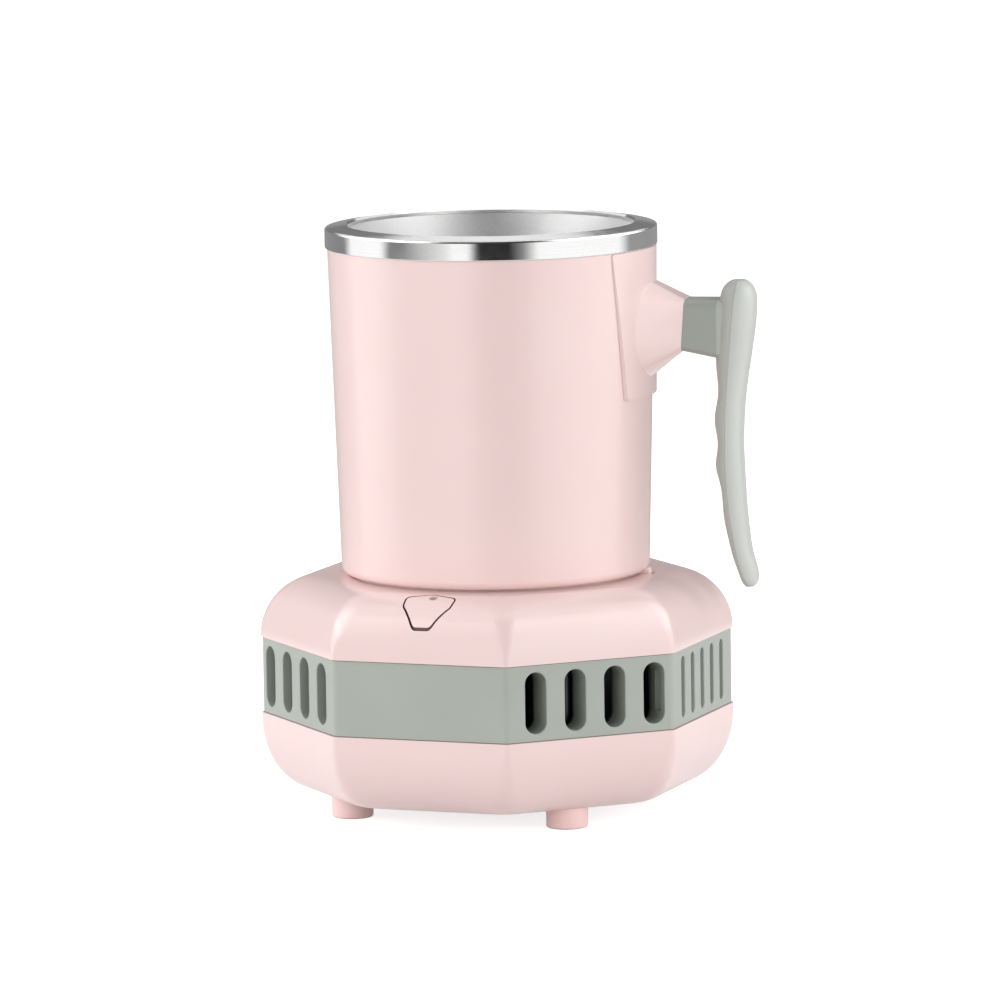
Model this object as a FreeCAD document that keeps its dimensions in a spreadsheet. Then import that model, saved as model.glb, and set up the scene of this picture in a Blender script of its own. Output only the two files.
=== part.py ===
import FreeCAD, Part
import math
import operator
import os
from types import SimpleNamespace

import Sketcher

# A desktop cooling cup: a powered octagonal base and an insulated mug that lifts off it.
# Millimetres, +Z up. The origin is on the base's axis, on the surface that the feet stand on.
# The button is on the -Y side and the handle points a little past +X, towards +Y.

DRIVING = (
    ("shell_flat", 75.0, "axis to each flat side of the two shells"),
    ("band_inset", 0.6, "how far the vent band lies behind the shells"),
    ("wall", 2.4, "plastic wall of the base"),
    ("underside", 6.8, "underside of the bottom shell"),
    ("band_low", 33.3, "joint of bottom shell and band"),
    ("band_high", 59.4, "joint of band and top shell"),
    ("seat_top", 80.4, "top of the base, round the seat"),
    ("keel_run", 16.0, "how far the bottom shell curves in"),
    ("keel_drop", 23.7, "how far the bottom shell curves down"),
    ("shoulder_run", 18.0, "how far the top shell curves in"),
    ("shoulder_rise", 19.8, "how far the top shell curves up"),
    ("corner_sharp", 3.0, "corner radius of the octagon at the band"),
    ("corner_soft", 12.0, "corner radius where the shells turn flat"),
    ("vent_depth", 8.0, "depth of the louvre blocks behind the band"),
    ("slot_height", 20.8, "height of every vent slot"),
    ("wide_slot", 7.7, "width of a wide vent slot"),
    ("wide_pitch", 14.6, "spacing of the wide slots"),
    ("wide_shift", 2.0, "wide rows stand off centre by this"),
    ("narrow_slot", 3.7, "width of a narrow vent slot"),
    ("narrow_pitch", 9.9, "spacing of the narrow slots"),
    ("foot_radius", 7.1, "foot"),
    ("foot_offset", 38.9, "foot and case screw, from the axis along X and along Y"),
    ("pillar_radius", 4.2, "case screw pillar"),
    ("pillar_joint", 33.7, "where the two halves of a pillar meet"),
    ("seat_radius", 50.2, "seat that the mug stands in"),
    ("seat_floor", 75.0, "top of the seat floor and cold plate"),
    ("lug_width", 3.6, "lug on the mug that keeps it from turning in the seat"),
    ("lug_reach", 54.0, "how far the lug stands out from the mug's axis"),
    ("lug_low", 77.2, "underside of the lug"),
    ("lug_high", 82.4, "top of the lug"),
    ("intake_slot", 3.4, "width of an air slot under the fan"),
    ("plate_radius", 42.0, "cold plate"),
    ("plate_thickness", 3.0, "cold plate"),
    ("module_side", 40.0, "Peltier module and cold block"),
    ("module_low", 58.0, "heat sink face under the module"),
    ("module_high", 61.8, "top of the module"),
    ("ceramic", 0.8, "thickness of a module face"),
    ("sink_low", 28.4, "tips of the fins"),
    ("sink_plate", 52.0, "underside of the heat sink plate"),
    ("sink_side", 66.0, "heat sink fins along Y"),
    ("sink_length", 90.0, "heat sink plate along X"),
    ("ear_across", 40.0, "heat sink screw along X"),
    ("ear_along", 26.0, "heat sink screw along Y"),
    ("fan_side", 70.0, "fan frame"),
    ("fan_height", 15.0, "fan frame"),
    ("fan_bore", 33.5, "fan frame opening"),
    ("fan_screw", 30.0, "fan screw from the axis, along X and along Y"),
    ("hub_radius", 14.0, "impeller hub"),
    ("blade_radius", 32.4, "impeller blade tips"),
    ("shaft_radius", 1.5, "fan shaft"),
    ("shaft_play", 0.03, "running clearance round the fan shaft"),
    ("board_low", 64.0, "underside of the control board"),
    ("board_thickness", 1.6, "control board"),
    ("board_mid", -63.0, "control board and button stem along Y"),
    ("button_wide", 9.0, "button opening from its middle, across the face"),
    ("button_deep", 7.1, "button opening from its middle, along Y"),
    ("button_tip", 2.1, "half the width of the button's outer end, between its corner arcs"),
    ("button_corner", 2.6, "corner radius of the button opening"),
    ("button_mid", -65.65, "middle of the button along Y"),
    ("button_gap", 0.6, "gap round the button"),
    ("button_travel", 1.2, "how far the button goes down"),
    ("inlet_up", 46.3, "height of the power inlet"),
    ("inlet_radius", 4.0, "threaded neck of the power inlet"),
    ("mug_turn", 9.6, "degrees from +X to the handle"),
    ("mug_low", 75.2, "contact face under the mug"),
    ("jacket_low", 75.8, "lower edge of the jacket"),
    ("jacket_spigot", 49.2, "radius of the jacket's lower end, inside the seat"),
    ("jacket_step", 80.9, "where the jacket widens above the seat"),
    ("jacket_round", 3.0, "rounding of the jacket's lower edge above the seat"),
    ("jacket_foot", 52.5, "jacket radius at its foot"),
    ("jacket_top", 55.9, "jacket radius under the rim"),
    ("jacket_wall", 2.2, "jacket wall"),
    ("rim_low", 192.8, "lower edge of the metal rim"),
    ("rim_radius", 56.7, "outside of the rim"),
    ("rim_crest", 200.5, "highest point of the mug"),
    ("mouth_radius", 48.9, "inside of the mug at the rim"),
    ("liner_wall", 1.5, "liner wall"),
    ("liner_top", 198.7, "upper edge of the liner, under the rim's lip"),
    ("liner_foot", 44.6, "inside of the mug at its floor"),
    ("liner_floor", 84.0, "floor of the mug"),
    ("slug_radius", 41.5, "contact slug under the liner"),
    ("fit_gap", 0.2, "gap between pieces that are assembled together"),
    ("panel_low", 142.2, "lower edge of the handle panel"),
    ("panel_high", 192.5, "upper edge of the handle panel"),
    ("panel_wide", 30.4, "half width of the panel at its upper edge"),
    ("panel_slim", 23.2, "half width of the panel at its lower edge"),
    ("panel_corner", 0.8, "corner radius of the panel"),
    ("panel_proud", 1.5, "panel thickness at its lower edge"),
    ("boss_mid", 165.5, "middle of the handle boss"),
    ("stub_top", 174.7, "top of the stub between boss and grip"),
    ("stub_width", 16.4, "stub between boss and grip"),
    ("tongue_side", 11.0, "square tongue of the stub, inside the boss"),
    ("screw_shank", 1.5, "shank of the case, fan, heat sink and bracket screws"),
    ("screw_pilot", 1.55, "hole that such a screw is driven into"),
    ("screw_pass", 1.8, "hole that such a screw passes through"),
    ("slot_edge", 0.4, "rounding of the vent slots' outer edges"),
    ("seam_gap", 0.06, "seam between the two halves of the grip"),
)

# The grip, from its top to its lower end: height, inner edge, seam and outer edge as distances
# from the mug's axis, and half its width. The inner edge has two ridges between the fingers.
GRIP = (
    (181.0, 83.2, 85.4, 87.2, 3.6),
    (179.8, 81.2, 85.4, 89.0, 6.2),
    (177.2, 79.8, 85.1, 90.6, 8.2),
    (172.5, 79.2, 84.6, 91.1, 9.2),
    (163.0, 78.6, 83.7, 90.2, 9.4),
    (152.0, 78.0, 82.8, 88.4, 9.2),
    (142.8, 78.7, 82.0, 87.0, 9.0),
    (133.4, 77.3, 81.4, 86.2, 8.8),
    (125.5, 78.4, 81.2, 85.9, 8.6),
    (117.7, 77.5, 81.3, 86.2, 8.3),
    (112.0, 79.0, 81.5, 86.5, 8.1),
    (101.0, 80.1, 82.5, 87.2, 7.6),
    (93.0, 81.6, 83.6, 88.1, 7.1),
    (87.0, 83.0, 84.8, 89.2, 6.6),
    (80.5, 85.1, 86.6, 90.9, 5.8),
    (77.6, 86.1, 87.7, 90.6, 4.8),
    (76.4, 87.1, 88.2, 89.6, 3.2),
)

# Counts and fixed places that no other size depends on.
INTAKE_SLOTS = 16
BLADES = 7
BLADE_TILT = 38
BOARD_LENGTH = 46
BOARD_SCREWS = (-19, 19)
LEAD_EXIT = 8
BRACKET_SCREWS = (156.5, 174.5)
FIN_COUNT = 15
FIN_PITCH = 4.8
PELLET_ROWS = 8
PELLET_PITCH = 4.6

DOC = FreeCAD.newDocument("cooling_cup")
SHEET = DOC.addObject("Spreadsheet::Sheet", "sizes")
NODES = {}
UP = FreeCAD.Vector(0, 0, 1)
SIGNS = {"+": operator.add, "-": operator.sub, "*": operator.mul, "/": operator.truediv}


class Size:
    """A number together with the sheet expression that it comes from."""

    def __init__(self, value, text):
        self.value = value
        self.text = text

    def __add__(self, other):
        return combine(self, "+", other)

    def __radd__(self, other):
        return combine(other, "+", self)

    def __sub__(self, other):
        return combine(self, "-", other)

    def __rsub__(self, other):
        return combine(other, "-", self)

    def __mul__(self, other):
        return combine(self, "*", other)

    def __rmul__(self, other):
        return combine(other, "*", self)

    def __truediv__(self, other):
        return combine(self, "/", other)

    def __neg__(self):
        return combine(0, "-", self)


def as_size(number):
    if isinstance(number, Size):
        return number
    return Size(float(number), f"({float(number)!r})")


def combine(left, sign, right):
    left = as_size(left)
    right = as_size(right)
    return Size(SIGNS[sign](left.value, right.value), f"({left.text} {sign} {right.text})")


def fill_sheet():
    sizes = SimpleNamespace()
    for row, (alias, value, note) in enumerate(DRIVING, start=1):
        SHEET.set(f"A{row}", note)
        SHEET.set(f"B{row}", str(value))
        SHEET.setAlias(f"B{row}", alias)
        setattr(sizes, alias, Size(value, f"sizes.{alias}"))
    DOC.recompute()
    return sizes


S = fill_sheet()


def drive(thing, path, size):
    """Bind one property to the sheet, if the size comes from there."""
    if "sizes." in size.text:
        thing.setExpression(path, size.text)


def bind(thing, **sizes):
    for name, number in sizes.items():
        size = as_size(number)
        setattr(thing, name, size.value)
        drive(thing, name, size)


def place(thing, at=(0, 0, 0), direction=UP, turn=None):
    """Put a thing at a point, with its Z axis along a direction or turned about Z."""
    spot = [as_size(number) for number in at]
    rotation = FreeCAD.Rotation(UP, FreeCAD.Vector(direction))
    if turn is not None:
        rotation = FreeCAD.Rotation(UP, as_size(turn).value)
    thing.Placement = FreeCAD.Placement(FreeCAD.Vector(*[size.value for size in spot]), rotation)
    for letter, size in zip("xyz", spot):
        drive(thing, f"Placement.Base.{letter}", size)
    if turn is not None:
        drive(thing, "Placement.Rotation.Angle", as_size(turn))


def cylinder(name, radius, height, at=(0, 0, 0), direction=UP):
    thing = DOC.addObject("Part::Cylinder", name)
    bind(thing, Radius=radius, Height=height)
    place(thing, at, direction)
    return thing


def block(name, sides, at=(0, 0, 0)):
    """A box that stands on a point, centred on it along X and Y."""
    thing = DOC.addObject("Part::Box", name)
    bind(thing, Length=sides[0], Width=sides[1], Height=sides[2])
    place(thing, (at[0] - as_size(sides[0]) / 2, at[1] - as_size(sides[1]) / 2, at[2]))
    return thing


def swing(name, piece, angle):
    """A copy of a piece, swung about the Z axis."""
    thing = DOC.addObject("Part::Compound", name)
    thing.Links = [piece]
    place(thing, turn=angle)
    return thing


def cut(name, base, tool):
    thing = DOC.addObject("Part::Cut", name)
    thing.Base = base
    thing.Tool = tool
    return thing


def fuse(name, pieces):
    thing = DOC.addObject("Part::MultiFuse", name)
    thing.Shapes = pieces
    return thing


def common(name, pieces):
    thing = DOC.addObject("Part::MultiCommon", name)
    thing.Shapes = pieces
    return thing


def node(label, thing):
    """Register a finished sub-part under the name of its file."""
    thing.Label = label
    NODES[label] = thing
    return thing


def with_mug(thing):
    """Turn a piece of the mug, made with its handle along +X, to where the handle points."""
    place(thing, turn=S.mug_turn)
    return thing


def pin(sketch, element, point, at):
    """Fix one point of a sketch at a distance across and a distance up from its origin."""
    for kind, axis, number in (("DistanceX", -2, at[0]), ("DistanceY", -1, at[1])):
        size = as_size(number)
        if abs(size.value) < 1e-9:
            sketch.addConstraint(Sketcher.Constraint("PointOnObject", element, point, axis))
            continue
        ends = (-1, 1, element, point)
        if size.value < 0:
            ends = (element, point, -1, 1)
            size = -size
        index = sketch.addConstraint(Sketcher.Constraint(kind, *ends, size.value))
        drive(sketch, f"Constraints[{index}]", size)


def flat(at):
    return FreeCAD.Vector(as_size(at[0]).value, as_size(at[1]).value, 0)


def draw(sketch, corners):
    """A closed outline of straight lines."""
    count = len(corners)
    for index in range(count):
        following = corners[(index + 1) % count]
        sketch.addGeometry(Part.LineSegment(flat(corners[index]), flat(following)))
    for index in range(count):
        sketch.addConstraint(Sketcher.Constraint("Coincident", index, 2, (index + 1) % count, 1))
    for index, corner in enumerate(corners):
        pin(sketch, index, 1, corner)


def draw_rounded(sketch, centres, radius):
    """A closed outline of equal corner arcs round the centres, anticlockwise, joined by lines."""
    first = sketch.GeometryCount
    count = len(centres)
    radius = as_size(radius)
    spots = [flat(centre) for centre in centres]
    angles = []
    for index in range(count):
        along = spots[(index + 1) % count] - spots[index]
        angles.append(math.atan2(-along.x, along.y))
    for index in range(count):
        start = angles[index - 1]
        finish = angles[index]
        while finish <= start:
            finish += 2 * math.pi
        circle = Part.Circle(spots[index], UP, radius.value)
        sketch.addGeometry(Part.ArcOfCircle(circle, start, finish))
    for index in range(count):
        reach = FreeCAD.Vector(math.cos(angles[index]), math.sin(angles[index]), 0) * radius.value
        here = spots[index] + reach
        there = spots[(index + 1) % count] + reach
        sketch.addGeometry(Part.LineSegment(here, there))
    for index in range(count):
        arc = first + index
        side = first + count + index
        following = first + (index + 1) % count
        sketch.addConstraint(Sketcher.Constraint("Tangent", arc, 2, side, 1))
        sketch.addConstraint(Sketcher.Constraint("Tangent", side, 2, following, 1))
    for index, centre in enumerate(centres):
        pin(sketch, first + index, 3, centre)
        row = sketch.addConstraint(Sketcher.Constraint("Radius", first + index, radius.value))
        drive(sketch, f"Constraints[{row}]", radius)


def free_sketch(name, at=(0, 0, 0), direction=None):
    """A sketch on its own, level, or facing -Y with its second axis upwards."""
    sketch = DOC.addObject("Sketcher::SketchObject", name)
    place(sketch, at)
    if direction == "front":
        sketch.Placement.Rotation = FreeCAD.Rotation(FreeCAD.Vector(1, 0, 0), 90)
    return sketch


def prism(name, sketch, direction, length):
    thing = DOC.addObject("Part::Extrusion", name)
    thing.Base = sketch
    thing.DirMode = "Custom"
    thing.Dir = FreeCAD.Vector(direction)
    thing.Solid = True
    bind(thing, LengthFwd=length)
    return thing


def turned(name, outline):
    """A body turned about Z from an outline of points, each a radius and a height."""
    body = DOC.addObject("PartDesign::Body", name)
    sketch = body.newObject("Sketcher::SketchObject", f"{name}_outline")
    plane = next(part for part in body.Origin.OriginFeatures if part.Role == "XZ_Plane")
    sketch.AttachmentSupport = [(plane, "")]
    sketch.MapMode = "FlatFace"
    draw(sketch, outline)
    turning = body.newObject("PartDesign::Revolution", f"{name}_turning")
    turning.Profile = sketch
    turning.ReferenceAxis = (sketch, ["V_Axis"])
    turning.Angle = 360
    body.Tip = turning
    return body


def round_rings(body, radius, rings):
    """Round the circular edges of a turned body that lie at the given radii and heights."""
    DOC.recompute()
    plain = body.Tip
    names = []
    for index, edge in enumerate(plain.Shape.Edges, start=1):
        if not hasattr(edge.Curve, "Radius"):
            continue
        spot = (edge.Curve.Radius, edge.Curve.Center.z)
        for ring in rings:
            if math.dist(spot, (as_size(ring[0]).value, as_size(ring[1]).value)) < 0.01:
                names.append(f"Edge{index}")
    fillet = body.newObject("PartDesign::Fillet", f"{body.Name}_rounding")
    fillet.Base = (plain, names)
    bind(fillet, Radius=radius)
    body.Tip = fillet


def octagon(name, side, corner, height):
    """A level octagon with rounded corners, its flat sides at one distance from the axis."""
    sketch = free_sketch(name, (0, 0, height))
    reach = as_size(side) - corner
    half = reach * math.tan(math.pi / 8)
    centres = ((reach, half), (half, reach), (-half, reach), (-reach, half),
               (-reach, -half), (-half, -reach), (half, -reach), (reach, -half))
    draw_rounded(sketch, centres, corner)
    return sketch


def octagon_prism(name, side, low, high):
    sketch = octagon(f"{name}_outline", side, S.corner_sharp, low)
    return prism(name, sketch, UP, high - low)


def curved_form(name, inset, joint, overlap, run, rise, sign):
    """The solid inside a shell's surface: upright at the joint, then curving in to a flat face."""
    steps = 6
    start = S.seat_top - S.shoulder_rise if sign > 0 else S.underside + S.keel_drop
    side = S.shell_flat - inset
    sections = [octagon(f"{name}_joint", side, S.corner_sharp, joint - sign * overlap)]
    for step in range(steps + 1):
        angle = math.pi / 2 * step / steps
        inward = (run - inset) * (1 - math.cos(angle))
        upward = (rise - inset) * math.sin(angle)
        corner = S.corner_sharp + (S.corner_soft - S.corner_sharp) * math.sin(angle)
        sections.append(octagon(f"{name}_{step}", side - inward, corner, start + upward * sign))
    thing = DOC.addObject("Part::Loft", name)
    thing.Sections = sections
    thing.Solid = True
    return thing


def four_corners(offset_x, offset_y):
    return ((offset_x, offset_y), (-offset_x, offset_y), (-offset_x, -offset_y), (offset_x, -offset_y))


def bottom_shell():
    outer = curved_form("keel", 0, S.band_low, 0, S.keel_run, S.keel_drop, -1)
    inner = curved_form("keel_inside", S.wall, S.band_low, 1, S.keel_run, S.keel_drop, -1)
    tray = cut("tray", outer, inner)
    pillars = []
    holes = []
    for index, (x, y) in enumerate(four_corners(S.foot_offset, S.foot_offset)):
        floor = S.underside + S.wall / 2
        height = S.pillar_joint - floor
        pillars.append(cylinder(f"low_pillar_{index}", S.pillar_radius, height, (x, y, floor)))
        holes.append(cylinder(f"low_pillar_hole_{index}", S.screw_pass, S.pillar_joint, (x, y, 1)))
    for index, (x, y) in enumerate(four_corners(S.fan_screw, S.fan_screw)):
        holes.append(cylinder(f"fan_pilot_{index}", S.screw_pilot, S.wall * 3, (x, y, S.underside - S.wall)))
    middle = (S.hub_radius + S.blade_radius) / 2
    slot_sides = (S.blade_radius - S.hub_radius - 2, S.intake_slot, S.wall * 3)
    slot = block("intake_slot", slot_sides, (middle, 0, S.underside - S.wall))
    for index in range(INTAKE_SLOTS):
        holes.append(swing(f"intake_slot_{index}", slot, 360 / INTAKE_SLOTS * (index + 0.5)))
    solid = fuse("tray_with_pillars", [tray] + pillars)
    node("bottom_shell", cut("bottom_shell", solid, fuse("bottom_openings", holes)))
    return outer


def feet(keel):
    head_room = 3.6
    shelf = 5.6
    head = 2.2
    recess = fuse("screw_recess", [
        block("recess_slot", (3.6, 0.7, 1.2)),
        block("recess_cross", (0.7, 3.6, 1.2)),
    ])
    for index, (x, y) in enumerate(four_corners(S.foot_offset, S.foot_offset), start=1):
        post = cylinder(f"foot_post_{index}", S.foot_radius, S.underside + 8, (x, y, 0))
        rounded = DOC.addObject("Part::Fillet", f"foot_rounded_{index}")
        DOC.recompute()
        rounded.Base = post
        rim = [number for number, edge in enumerate(post.Shape.Edges, start=1)
               if hasattr(edge.Curve, "Radius") and edge.CenterOfMass.z < 0.01]
        rounded.Edges = [(rim[0], 0.8, 0.8)]
        trimmed = cut(f"foot_trimmed_{index}", rounded, keel)
        well = cylinder(f"foot_well_{index}", head_room, shelf, (x, y, 0))
        hole = cylinder(f"foot_hole_{index}", S.screw_pass, S.underside * 2, (x, y, 0))
        bores = fuse(f"foot_bores_{index}", [well, hole])
        node(f"foot_{index}", cut(f"foot_{index}", trimmed, bores))
        disc = cylinder(f"case_screw_head_{index}", 3.0, head, (x, y, shelf - head))
        shank = cylinder(f"case_screw_shank_{index}", S.screw_shank, 42, (x, y, shelf - 0.5))
        screw = fuse(f"case_screw_blank_{index}", [disc, shank])
        cross = DOC.addObject("Part::Compound", f"case_screw_recess_{index}")
        cross.Links = [recess]
        place(cross, (x, y, shelf - head - 0.2))
        node(f"case_screw_{index}", cut(f"case_screw_{index}", screw, cross))


def slot_row(name, count, pitch, width, shift):
    """Stadium slots side by side, seen from the front and centred on the band."""
    middle = (S.band_low + S.band_high) / 2
    sketch = free_sketch(name, (0, -S.shell_flat - 2, middle), "front")
    half = (S.slot_height - width) / 2
    for index in range(count):
        across = shift + pitch * (index - (count - 1) / 2)
        draw_rounded(sketch, ((across, half), (across, -half)), width / 2)
    return sketch


def soften_slots(band, side):
    """Round the slots' edges on the band's outer faces, but not the round hole of the inlet."""
    DOC.recompute()
    chosen = []
    for number, edge in enumerate(band.Shape.Edges, start=1):
        spots = [edge.valueAt(edge.FirstParameter), edge.valueAt(edge.LastParameter), edge.CenterOfMass]
        inside = all(S.band_low.value + 1 < spot.z < S.band_high.value - 1 for spot in spots)
        if inside and edge.CenterOfMass.y < side.value - 1 and on_one_face(spots, side.value):
            chosen.append((number, S.slot_edge.value, S.slot_edge.value))
    softened = DOC.addObject("Part::Fillet", "vent_band")
    softened.Base = band
    softened.Edges = chosen
    return softened


def on_one_face(spots, side):
    """Whether all the points lie on one flat outer face of the octagon."""
    for step in range(8):
        way = FreeCAD.Vector(math.cos(math.pi / 4 * step), math.sin(math.pi / 4 * step), 0)
        if all(abs(spot.dot(way) - side) < 0.001 for spot in spots):
            return True
    return False


def vent_band():
    side = S.shell_flat - S.band_inset
    ring = octagon_prism("band_outside", side, S.band_low, S.band_high)
    tongue = octagon_prism("band_tongue", S.shell_flat - S.wall - 0.15, S.band_low - 2, S.band_high + 2)
    opening = octagon_prism("band_opening", S.shell_flat - S.wall * 1.6, S.band_low - 3, S.band_high + 3)
    hoop = cut("band_hoop", fuse("band_solid", [ring, tongue]), opening)
    wide = {
        1: slot_row("wide_slots", 4, S.wide_pitch, S.wide_slot, S.wide_shift),
        -1: slot_row("wide_slots_mirrored", 4, S.wide_pitch, S.wide_slot, -S.wide_shift),
    }
    narrow = slot_row("narrow_slots", 5, S.narrow_pitch, S.narrow_slot, as_size(0))
    rows = ((45, wide[1]), (90, narrow), (135, wide[-1]), (-135, wide[1]), (-90, narrow), (-45, wide[-1]))
    height = S.slot_height + 3
    back = side - S.wall - S.vent_depth / 2
    lift = (S.band_low + S.band_high - height) / 2
    louvre = block("louvre", (S.wide_pitch * 3.8, S.vent_depth + 1, height), (0, -back, lift))
    blocks = []
    slots = []
    for index, (angle, sketch) in enumerate(rows):
        blocks.append(swing(f"louvre_{index}", louvre, angle))
        row = prism(f"slot_row_{index}", sketch, (0, 1, 0), S.vent_depth * 2)
        place(row, turn=angle)
        slots.append(row)
    trim = octagon_prism("louvre_trim", side - S.wall / 2, S.band_low, S.band_high)
    louvres = common("louvres", [fuse("louvre_blocks", blocks), trim])
    slots.append(cylinder("inlet_hole", S.inlet_radius + 0.1, 12, (0, 66, S.inlet_up), (0, 1, 0)))
    plain = cut("band_slotted", fuse("band_body", [hoop, louvres]), fuse("band_slots", slots))
    node("vent_band", soften_slots(plain, side))


def button_prism(name, gap, low):
    """A shield shape that narrows towards the edge of the base."""
    sketch = free_sketch(f"{name}_outline", (0, 0, low))
    side = S.button_wide - S.button_corner
    end = S.button_deep - S.button_corner
    middle = S.button_mid
    draw_rounded(sketch, (
        (side, middle + end * 0.55), (0, middle + end), (-side, middle + end * 0.55),
        (0.2 - side, middle), (-S.button_tip, middle - end), (S.button_tip, middle - end),
        (side - 0.2, middle)), S.button_corner - gap)
    return prism(name, sketch, UP, 30)


def top_shell():
    outer = curved_form("shoulder", 0, S.band_high, 0, S.shoulder_run, S.shoulder_rise, 1)
    inner = curved_form("shoulder_inside", S.wall, S.band_high, 1, S.shoulder_run, S.shoulder_rise, 1)
    dome = cut("dome", outer, inner)
    well_low = S.seat_floor - S.wall
    pieces = [dome, cylinder("well", S.seat_radius + 2.2, S.seat_top - 0.4 - well_low, (0, 0, well_low))]
    holes = [
        cylinder("seat_hole", S.seat_radius, 20, (0, 0, S.seat_floor)),
        cylinder("plate_opening", S.plate_radius + 2, 20, (0, 0, S.seat_floor - 10)),
        button_prism("button_opening", as_size(0), S.board_low),
    ]
    for index, (x, y) in enumerate(four_corners(S.foot_offset, S.foot_offset)):
        height = well_low + 1 - S.pillar_joint
        pieces.append(cylinder(f"high_pillar_{index}", S.pillar_radius, height, (x, y, S.pillar_joint)))
        holes.append(cylinder(f"high_pilot_{index}", S.screw_pilot, 16, (x, y, S.pillar_joint)))
    for index, (x, y) in enumerate(four_corners(S.ear_across, S.ear_along)):
        height = well_low + 1 - S.module_low
        pieces.append(cylinder(f"sink_boss_{index}", 3.6, height, (x, y, S.module_low)))
        holes.append(cylinder(f"sink_pilot_{index}", S.screw_pilot, 10, (x, y, S.module_low)))
    board_high = S.board_low + S.board_thickness
    for index, x in enumerate(BOARD_SCREWS):
        pieces.append(cylinder(f"board_post_{index}", 2.4, 11.2, (x, S.board_mid, board_high)))
        holes.append(cylinder(f"board_pilot_{index}", 1.05, 7, (x, S.board_mid, board_high)))
    pad_reach = S.lug_reach - 1.5
    pad = block("lug_pad", (9, S.lug_width + 5, 6.5), (pad_reach, 0, S.seat_top - 6.9))
    pieces.append(swing("lug_pad_turned", pad, S.mug_turn))
    notch = block("lug_notch", (8, S.lug_width + 1.4, 20), (S.lug_reach - 2.8, 0, S.lug_low - 0.6))
    holes.append(swing("lug_notch_turned", notch, S.mug_turn))
    node("top_shell", cut("top_shell", fuse("dome_with_bosses", pieces), fuse("top_openings", holes)))
    return dome


def cooling_stack():
    """Cold plate, cold block, Peltier module, foam and heat sink, from the seat downwards."""
    plate_low = S.seat_floor - S.plate_thickness
    node("cold_plate", cylinder("cold_plate", S.plate_radius, S.plate_thickness, (0, 0, plate_low)))
    gasket_low = S.seat_floor - S.wall
    node("cold_plate_gasket", turned("cold_plate_gasket", (
        (S.plate_radius + 0.1, gasket_low), (S.plate_radius + 1.9, gasket_low),
        (S.plate_radius + 1.9, S.seat_floor - 0.2), (S.plate_radius + 0.1, S.seat_floor - 0.2))))
    side = S.module_side
    node("cold_block", block("cold_block", (side, side, plate_low - S.module_high), (0, 0, S.module_high)))
    cold_low = S.module_high - S.ceramic
    node("module_cold_face", block("module_cold_face", (side, side, S.ceramic), (0, 0, cold_low)))
    node("module_hot_face", block("module_hot_face", (side, side, S.ceramic), (0, 0, S.module_low)))
    pellets = []
    pellet_low = S.module_low + S.ceramic
    middle = (PELLET_ROWS - 1) / 2
    for row in range(PELLET_ROWS):
        for column in range(PELLET_ROWS):
            spot = (PELLET_PITCH * (row - middle), PELLET_PITCH * (column - middle), pellet_low)
            pellets.append(block(f"pellet_{row}_{column}", (2, 2, cold_low - pellet_low), spot))
    grid = DOC.addObject("Part::Compound", "module_pellets")
    grid.Links = pellets
    node("module_pellets", grid)
    foam = cylinder("foam_disc", S.plate_radius, plate_low - S.module_low - 0.4, (0, 0, S.module_low + 0.2))
    room = block("foam_room", (side + 0.6, side + 0.6, 30), (0, 0, S.module_low - 5))
    channel = block("foam_channel", (side, 6, 6), (side, LEAD_EXIT, S.module_low - 1))
    node("insulation_frame", cut("insulation_frame", foam, fuse("foam_openings", [room, channel])))
    heat_sink()


def heat_sink():
    plate_high = S.module_low - S.sink_plate
    plate = block("sink_plate", (S.sink_length, S.sink_side, plate_high), (0, 0, S.sink_plate))
    fins = []
    for index in range(FIN_COUNT):
        x = FIN_PITCH * (index - (FIN_COUNT - 1) / 2)
        fin_high = S.sink_plate + 0.5 - S.sink_low
        fins.append(block(f"fin_{index}", (1.4, S.sink_side, fin_high), (x, 0, S.sink_low)))
    holes = []
    corners = four_corners(S.ear_across, S.ear_along)
    for index, (x, y) in enumerate(corners, start=1):
        holes.append(cylinder(f"ear_hole_{index}", S.screw_pass, 12, (x, y, S.sink_plate - 2)))
        head = cylinder(f"sink_screw_head_{index}", 2.8, 2.0, (x, y, S.sink_plate - 2))
        shank = cylinder(f"sink_screw_shank_{index}", S.screw_shank, 14, (x, y, S.sink_plate - 1))
        node(f"heat_sink_screw_{index}", fuse(f"heat_sink_screw_{index}", [head, shank]))
    node("heat_sink", cut("heat_sink", fuse("sink_solid", [plate] + fins), fuse("ear_holes", holes)))


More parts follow.
